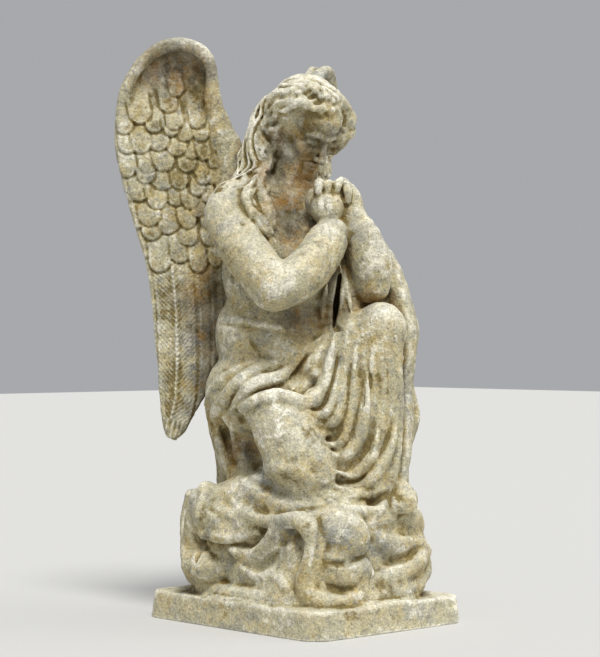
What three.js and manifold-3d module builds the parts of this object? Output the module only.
// A kneeling angel for a grave or a garden, carved from one block of stone with its cloud bank and plinth.
// Millimetres, +Z up. The origin is the centre of the plinth's underside, and the figure faces -Y.
// Its right knee is down, its left foot is forward, and its hands are clasped under a bowed head.
import * as THREE from "three";
import { mergeVertices } from "three/addons/utils/BufferGeometryUtils.js";
import Module from "manifold-3d";

const wasm = await Module();
wasm.setup();

// Driving dimensions.
const PLINTH = { width: 444, depth: 542, height: 58, chamfer: 28, batter: 8, bow: 4 };
const BANK_TOP = 285;
const WING_ROOT = { out: 61, back: 139, up: 850 };
const RIGHT_WING = { side: -1, spread: 47, drop: 0, leanOut: 0, leanForward: 0 };
const LEFT_WING = { side: 1, spread: 60, drop: 25, leanOut: 8, leanForward: 4 };
const STONE = { color: 0xb3aa8c, roughness: 0.93, metalness: 0 };

// The figure was laid out as its main view shows it, from the plinth's front right corner:
// across to the right of that view, toward the viewer, and up.
const MAIN_VIEW = THREE.MathUtils.degToRad(43);
const VIEW_COS = Math.cos(MAIN_VIEW);
const VIEW_SIN = Math.sin(MAIN_VIEW);

function at(across, toward, up) {
  return new THREE.Vector3(
    across * VIEW_COS - toward * VIEW_SIN,
    -across * VIEW_SIN - toward * VIEW_COS,
    up,
  );
}

// A closed surface as a solid that can be joined and cut.
function solid(geometry) {
  const bare = geometry.clone();
  bare.deleteAttribute("normal");
  bare.deleteAttribute("uv");
  const merged = mergeVertices(bare, 1e-3);
  return new wasm.Manifold(
    new wasm.Mesh({
      numProp: 3,
      vertProperties: new Float32Array(merged.attributes.position.array),
      triVerts: new Uint32Array(merged.index.array),
    }),
  );
}

// A ball stretched to three radii, turned about Z by `turn` degrees from the main view and bowed by `bow`.
function ball(centre, [across, toward, up], turn = 0, bow = 0, sides = 14) {
  const geometry = new THREE.SphereGeometry(1, sides, Math.round(sides * 0.6));
  geometry.rotateX(Math.PI / 2);
  geometry.scale(across, toward, up);
  geometry.rotateX(THREE.MathUtils.degToRad(bow));
  geometry.rotateZ(THREE.MathUtils.degToRad(turn) - MAIN_VIEW);
  geometry.translate(centre.x, centre.y, centre.z);
  return solid(geometry);
}

// A rounded limb, fold, lock or feather along a smooth line through `points`, with a radius at each point.
// `flat` thins it along `face`, the direction that a flat one looks in. A small one has plain `pointed` ends.
function limb(points, radii, { sides = 8, steps = 2, flat = 1, face = null, pointed = false } = {}) {
  const curve = new THREE.CatmullRomCurve3(points, false, "centripetal");
  const spans = points.length - 1;
  const reach = pointed ? 0.6 : 1 - 0.2 * Number(flat < 1);
  const rings = [];
  let normal = new THREE.Vector3(0.31, 0.2, 0.93);
  const ring = (t, lean) => {
    const tangent = curve.getTangent(t);
    normal = (face ?? normal).clone().projectOnPlane(tangent).normalize();
    const side = new THREE.Vector3().crossVectors(normal, tangent);
    const span = Math.min(Math.floor(t * spans), spans - 1);
    const radius = THREE.MathUtils.lerp(radii[span], radii[span + 1], t * spans - span);
    const centre = curve.getPoint(t).addScaledVector(tangent, radius * Math.sin(lean) * reach);
    return { centre, side, normal, radius: radius * Math.cos(lean) };
  };
  for (let i = 0; i <= spans * steps; i += 1) rings.push(ring(i / (spans * steps), 0));
  if (!pointed) {
    rings.unshift(ring(0, -Math.PI / 4));
    rings.push(ring(1, Math.PI / 4));
  }
  const poles = [ring(0, -Math.PI / 2).centre, ring(1, Math.PI / 2).centre];

  const vertices = [];
  for (const { centre, side, normal: up, radius } of rings) {
    for (let i = 0; i < sides; i += 1) {
      const angle = (2 * Math.PI * i) / sides;
      const place = centre
        .clone()
        .addScaledVector(side, radius * Math.cos(angle))
        .addScaledVector(up, radius * flat * Math.sin(angle));
      vertices.push(...place);
    }
  }
  for (const pole of poles) vertices.push(...pole);
  const faces = [];
  const last = (rings.length - 1) * sides;
  const firstPole = rings.length * sides;
  for (let i = 0; i < sides; i += 1) {
    const next = (i + 1) % sides;
    for (let row = 0; row < last; row += sides) {
      faces.push(row + i, row + next, row + sides + next);
      faces.push(row + i, row + sides + next, row + sides + i);
    }
    faces.push(firstPole, next, i);
    faces.push(firstPole + 1, last + i, last + next);
  }
  const geometry = new THREE.BufferGeometry();
  geometry.setAttribute("position", new THREE.Float32BufferAttribute(vertices, 3));
  geometry.setIndex(faces);
  return solid(geometry);
}

function join(solids) {
  return solids.reduce((whole, piece) => whole.add(piece));
}

// The slab: clipped corners, slightly bowed edges, and sides that lean in a little towards the top.
function plinth() {
  const { width, depth, height, chamfer, batter, bow } = PLINTH;
  const x = width / 2;
  const y = depth / 2;
  const outline = new THREE.Shape();
  outline.moveTo(-x + chamfer, -y);
  outline.quadraticCurveTo(0, -y - bow, x - chamfer, -y);
  outline.lineTo(x, -y + chamfer);
  outline.quadraticCurveTo(x + bow, 0, x, y - chamfer);
  outline.lineTo(x - chamfer, y);
  outline.lineTo(-x + chamfer, y);
  outline.lineTo(-x, y - chamfer);
  outline.quadraticCurveTo(-x - bow, 0, -x, -y + chamfer);
  outline.closePath();
  const slab = new THREE.ExtrudeGeometry(outline, { depth: height, bevelEnabled: false, curveSegments: 4 });
  const place = slab.attributes.position;
  for (let i = 0; i < place.count; i += 1) {
    if (place.getZ(i) < height / 2) continue;
    place.setX(i, place.getX(i) * (1 - batter / x));
    place.setY(i, place.getY(i) * (1 - batter / y));
  }
  return solid(slab);
}

// How far toward the viewer the bank's two sides in the main view stand, at a place across and sunk in
// by `inset`.
function bankToward(across, inset) {
  const rightSide = (PLINTH.width / 2 - inset + across * VIEW_COS) / VIEW_SIN;
  const front = (PLINTH.depth / 2 - inset - across * VIEW_SIN) / VIEW_COS;
  const rounding = 40;
  const gap = Math.abs(rightSide - front);
  return Math.min(rightSide, front) - rounding * Math.log1p(Math.exp(-gap / rounding));
}

// A swirl of cloud on the bank's visible sides, through [across, up] places.
function swirl(places, radii, inset = 38) {
  const points = places.map(([across, up]) => at(across, bankToward(across, inset), up));
  return limb(points, radii, { sides: 6, steps: 1, pointed: radii.length > 2 });
}

// The mound of cloud that the figure kneels on.
function cloudBank() {
  const levels = [
    [20, 180, 225],
    [110, 190, 235],
    [190, 182, 226],
    [BANK_TOP - 40, 155, 200],
    [BANK_TOP - 12, 110, 150],
  ];
  const sides = 16;
  const squareness = 0.55;
  const vertices = [];
  for (const [up, halfWidth, halfDepth] of levels) {
    for (let i = 0; i < sides; i += 1) {
      const angle = (2 * Math.PI * i) / sides;
      const [c, s] = [Math.cos(angle), Math.sin(angle)];
      vertices.push(halfWidth * Math.sign(c) * Math.abs(c) ** squareness);
      vertices.push(halfDepth * Math.sign(s) * Math.abs(s) ** squareness, up);
    }
  }
  vertices.push(0, 0, levels[0][0], 0, 0, BANK_TOP);
  const faces = [];
  const last = (levels.length - 1) * sides;
  const pole = levels.length * sides;
  for (let i = 0; i < sides; i += 1) {
    const next = (i + 1) % sides;
    for (let row = 0; row < last; row += sides) {
      faces.push(row + i, row + next, row + sides + next);
      faces.push(row + i, row + sides + next, row + sides + i);
    }
    faces.push(pole, next, i);
    faces.push(pole + 1, last + i, last + next);
  }
  const mound = new THREE.BufferGeometry();
  mound.setAttribute("position", new THREE.Float32BufferAttribute(vertices, 3));
  mound.setIndex(faces);
  return join([
    solid(mound),
    swirl(
      [[-137, 178], [-84, 182], [-41, 236], [-10, 245], [0, 190], [-10, 110], [40, 84], [97, 97], [124, 112]],
      [18, 18, 18, 20, 25, 26, 20, 17, 14],
    ),
    swirl([[73, 206], [76, 204]], [50, 48], 55),
    swirl([[62, 128], [87, 132], [114, 146]], [18, 21, 16]),
    swirl([[126, 262], [128, 212]], [13, 13]),
    swirl([[164, 178], [166, 174]], [36, 36], 52),
    swirl([[138, 222], [173, 244], [220, 208]], [16, 22, 32]),
    swirl([[137, 131], [188, 138], [247, 162]], [20, 22, 18]),
    swirl([[141, 92], [200, 88], [252, 74]], [20, 22, 14]),
    swirl([[-192, 119], [-180, 118]], [32, 30], 44),
    swirl([[-84, 115], [-55, 139], [-24, 177]], [13, 15, 14]),
    swirl([[-215, 78], [-133, 80], [-40, 84], [30, 80]], [14, 18, 18, 14], 44),
  ]);
}

// Both legs under the cloth, and the foot that shows at the front.
function legs() {
  return join([
    limb([at(-120, 25, 480), at(-50, 100, 415), at(12, 150, 338)], [92, 86, 70], { sides: 9 }),
    limb([at(8, 145, 325), at(-100, 85, 288), at(-205, 22, 250)], [62, 58, 42], { sides: 8, steps: 1 }),
    limb([at(-222, 18, 252), at(-234, 8, 175), at(-230, 10, 95)], [26, 22, 24], { sides: 6, steps: 1 }),
    limb([at(-200, 32, 222), at(-120, 100, 236)], [40, 46], { sides: 6, steps: 1 }),
    limb([at(-15, -20, 480), at(85, 40, 560), at(160, 85, 626)], [88, 72, 52], { sides: 8, steps: 1 }),
    limb([at(163, 88, 628), at(155, 92, 460), at(158, 95, 310)], [48, 47, 40], { sides: 8, steps: 1 }),
    limb([at(150, 60, 270), at(200, 112, 266)], [30, 20], { sides: 6, steps: 1 }),
  ]);
}

// The cloth round the hips and over the legs: the masses first, then the ridges that cross them.
function drapery() {
  const ridge = (points, radius) => {
    const radii = points.map((_, i) => (i === 0 || i === points.length - 1 ? radius * 0.7 : radius));
    return limb(points.map((p) => at(...p)), radii, { sides: 5, steps: 1, pointed: true });
  };
  return join([
    ball(at(-68, 0, 478), [132, 112, 105], 20, 0, 12),
    limb([at(-70, -35, 460), at(-62, -42, 320), at(-55, -40, 200)], [105, 118, 130], { sides: 10, steps: 1 }),
    limb([at(-178, 20, 452), at(-178, 28, 400), at(-150, 45, 322)], [30, 30, 22], { sides: 6, steps: 1 }),
    limb([at(-150, 45, 430), at(-120, 60, 330)], [42, 40], { sides: 6, steps: 1 }),
    limb([at(40, 85, 545), at(80, 100, 430), at(100, 100, 320)], [42, 44, 44], { sides: 6, steps: 1 }),
    limb([at(105, 92, 560), at(128, 100, 420), at(135, 105, 310)], [44, 46, 44], { sides: 6, steps: 1 }),
    ridge([[-198, 45, 422], [-150, 75, 490], [-65, 100, 545], [30, 100, 588]], 15),
    ridge([[-172, 75, 412], [-112, 105, 475], [-38, 115, 521], [25, 110, 574]], 13),
    ridge([[-138, 100, 434], [-64, 150, 478], [12, 150, 468], [56, 135, 530], [62, 118, 580]], 12),
    ridge([[-4, 150, 459], [46, 148, 447], [77, 138, 522], [82, 125, 568]], 11),
    ridge([[12, 150, 436], [66, 145, 428], [90, 138, 507], [100, 125, 545]], 10),
    ridge([[52, 145, 372], [86, 145, 366], [112, 140, 440], [124, 128, 560]], 11),
    ridge([[73, 140, 320], [120, 145, 326], [160, 135, 400], [170, 125, 460]], 11),
    ridge([[70, 142, 276], [114, 148, 266], [152, 145, 262], [178, 135, 300]], 12),
    ridge([[-222, 55, 188], [-172, 100, 184], [-120, 145, 200]], 12),
  ]);
}

// The trunk, turned a little toward its right, with the band under the chest.
function torso() {
  return join([
    limb([at(-68, 0, 500), at(-62, 2, 620)], [112, 106], { sides: 12, steps: 1 }),
    ball(at(-45, 2, 745), [136, 100, 150], 32, 0, 12),
    ball(at(-38, 0, 850), [140, 86, 78], 32, 0, 12),
    limb([at(-120, 38, 885), at(-35, 0, 905), at(55, -60, 915)], [52, 56, 50]),
  ]);
}

// Each arm from the shoulder to the elbow and back up to the clasped hands.
function arms() {
  const arm = (points, radii) => limb(points.map((p) => at(...p)), radii, { sides: 8, steps: 1 });
  const finger = (across, toward, up) =>
    limb(
      [
        at(across, toward - 12, up + 8),
        at(across - 3, toward + 12, up + 2),
        at(across - 3, toward + 10, up - 14),
      ],
      [8, 9, 8],
      { sides: 5, steps: 1, pointed: true },
    );
  return join([
    arm([[-160, 60, 878], [-112, 125, 800], [-52, 178, 718]], [54, 51, 45]),
    arm([[-50, 180, 712], [5, 132, 780], [44, 82, 845]], [44, 43, 30]),
    arm([[46, 80, 850], [53, 76, 893]], [29, 29]),
    arm([[84, -86, 922], [114, -25, 820], [140, 34, 720]], [50, 49, 44]),
    arm([[141, 38, 718], [113, 55, 800], [90, 60, 872]], [44, 42, 27]),
    arm([[88, 62, 878], [70, 66, 918]], [25, 22]),
    finger(38, 90, 920),
    finger(52, 92, 924),
    finger(68, 90, 928),
    finger(82, 84, 926),
  ]);
}

// The head, bowed forward, with its waved hair gathered behind the ears and falling to the right shoulder.
function head() {
  const lock = (points, radii) =>
    limb(points.map((p) => at(...p)), radii, { sides: 5, steps: 1, pointed: true });
  return join([
    limb([at(-30, 0, 915), at(-12, 10, 1000)], [52, 48]),
    ball(at(-4, 14, 1060), [90, 98, 88], 43, 35, 12),
    ball(at(-4, 40, 1000), [60, 58, 82], 43, 35, 10),
    limb([at(14, 74, 1026), at(16, 90, 978)], [8, 14], { sides: 6, steps: 1 }),
    ball(at(-48, -8, 1020), [52, 62, 84], 0, 0, 10),
    lock(
      [[-60, 55, 1090], [-92, 45, 1040], [-88, 45, 985], [-92, 40, 930], [-70, 55, 880]],
      [22, 22, 20, 22, 14],
    ),
    lock([[-80, 20, 1080], [-98, 5, 1010], [-96, 0, 950], [-88, 15, 900]], [22, 24, 24, 16]),
    lock([[-72, 70, 1030], [-66, 62, 970], [-58, 70, 920], [-50, 74, 866]], [18, 18, 16, 12]),
    lock([[-78, 60, 1105], [-20, 98, 1105], [40, 98, 1092], [80, 62, 1066]], [16, 20, 20, 16]),
    lock([[-60, 30, 1135], [0, 60, 1146], [56, 55, 1128], [92, 20, 1080]], [16, 18, 18, 16]),
    lock([[88, 10, 1110], [100, 8, 1060], [88, 12, 1010]], [16, 18, 12]),
  ]);
}

// The mantle that falls from the left shoulder, outside the arm and knee, to the bank.
function mantle() {
  const face = at(1, -0.25, 0).normalize();
  const fall = (points, radii, flat) =>
    limb(points.map((p) => at(...p)), radii, { sides: 8, steps: 1, flat, face });
  return join([
    fall(
      [
        [88, -95, 862],
        [146, -64, 788],
        [190, -42, 704],
        [210, -25, 610],
        [210, -20, 500],
        [212, -5, 400],
        [200, 5, 290],
      ],
      [38, 56, 68, 74, 72, 76, 80],
      0.38,
    ),
    fall([[30, -130, 890], [70, -130, 700], [95, -125, 500], [105, -110, 290]], [60, 88, 100, 104], 0.6),
    fall(
      [[130, -50, 850], [150, -25, 720], [160, -40, 560], [160, -40, 420], [160, -20, 290]],
      [44, 50, 62, 66, 70],
      0.8,
    ),
  ]);
}

// One wing: a rolled leading edge that arches over the top, long feathers under it and rows of small ones.
// Places on it are [outward from the root, forward of its plane, up]. Its spread is the angle between it and
// straight back, in degrees, and above its root it leans outward and forward by the other two angles.
function wing({ side, spread, drop, leanOut, leanForward }) {
  const angle = THREE.MathUtils.degToRad(spread);
  const outPerUp = Math.tan(THREE.MathUtils.degToRad(leanOut));
  const forwardPerUp = Math.tan(THREE.MathUtils.degToRad(leanForward));
  const outward = new THREE.Vector3(side * Math.sin(angle), Math.cos(angle), 0);
  const front = new THREE.Vector3(side * Math.cos(angle), -Math.sin(angle), 0);
  const place = ([out, forward, up]) => {
    const rise = Math.max(up - WING_ROOT.up, 0);
    return new THREE.Vector3(side * WING_ROOT.out, WING_ROOT.back, up - drop)
      .addScaledVector(outward, out + outPerUp * rise)
      .addScaledVector(front, forward + forwardPerUp * rise);
  };
  const feather = (points, radii, flat) =>
    limb(points.map(place), radii, { sides: 5, steps: 1, flat, face: front, pointed: true });
  const leadingEdge = [
    [0, -14, 850],
    [8, -9, 940],
    [32, -2, 1040],
    [58, 8, 1120],
    [76, 16, 1192],
    [130, 20, 1229],
    [190, 16, 1200],
    [230, 8, 1140],
    [249, 2, 1060],
    [248, -4, 975],
  ];
  const longFeathers = [
    { top: [225, 8, 1090], bend: [212, 0, 850], knee: [172, -2, 620], tip: [152, 6, 415], width: 34 },
    { top: [185, 2, 1110], bend: [170, -4, 850], knee: [142, -4, 620], tip: [146, 4, 392], width: 36 },
    { top: [140, 0, 1120], bend: [128, -8, 850], knee: [112, -8, 640], tip: [112, 2, 430], width: 34 },
    { top: [95, -2, 1100], bend: [84, -10, 840], knee: [78, -10, 660], tip: [80, 0, 490], width: 34 },
    { top: [55, -2, 1060], bend: [40, -12, 840], knee: [42, -12, 690], tip: [48, -4, 560], width: 32 },
  ];
  const rows = 4;
  const perRow = 3;
  const smallFeathers = [];
  for (let row = 0; row < rows; row += 1) {
    const up = 1086 - row * 72;
    const stagger = (row % 2) * 0.5;
    for (let i = 0; i < perRow; i += 1) {
      const out = THREE.MathUtils.lerp(66, 236, (i + stagger) / (perRow - 0.5)) - row * 7;
      smallFeathers.push(feather([[out, 8, up + 28], [out + 3, 24, up - 24]], [26, 30], 0.32));
    }
  }
  return join([
    limb([new THREE.Vector3(side * 36, 60, 870 - drop), place([4, -12, 900])], [58, 50], { steps: 1 }),
    limb(leadingEdge.map(place), [46, 44, 36, 26, 22, 24, 24, 21, 16, 12], { sides: 7, steps: 1 }),
    limb([[78, -6, 1080], [134, -6, 1156], [204, -4, 1080]].map(place), [60, 82, 62], {
      sides: 8,
      steps: 1,
      flat: 0.3,
      face: front,
    }),
    ...longFeathers.map(({ top, bend, knee, tip, width }) =>
      feather([top, bend, knee, tip], [width, width, width * 0.9, width * 0.45], 0.5),
    ),
    ...smallFeathers,
  ]);
}

const whole = join([
  plinth(),
  cloudBank(),
  legs(),
  drapery(),
  torso(),
  arms(),
  head(),
  mantle(),
  wing(RIGHT_WING),
  wing(LEFT_WING),
]);

// Only the outer skin is kept, so no hollow is sealed inside the stone.
const shells = whole.decompose();
const skin = shells.reduce((largest, shell) => (shell.volume() > largest.volume() ? shell : largest));
const { vertProperties, triVerts } = skin.getMesh();
const carved = new THREE.BufferGeometry();
carved.setAttribute("position", new THREE.BufferAttribute(vertProperties, 3));
carved.setIndex(new THREE.BufferAttribute(triVerts, 1));
carved.computeVertexNormals();

const statue = new THREE.Mesh(carved, new THREE.MeshStandardMaterial(STONE));
statue.name = "angel_statue";

const angel = new THREE.Group();
angel.add(statue);

export default angel;
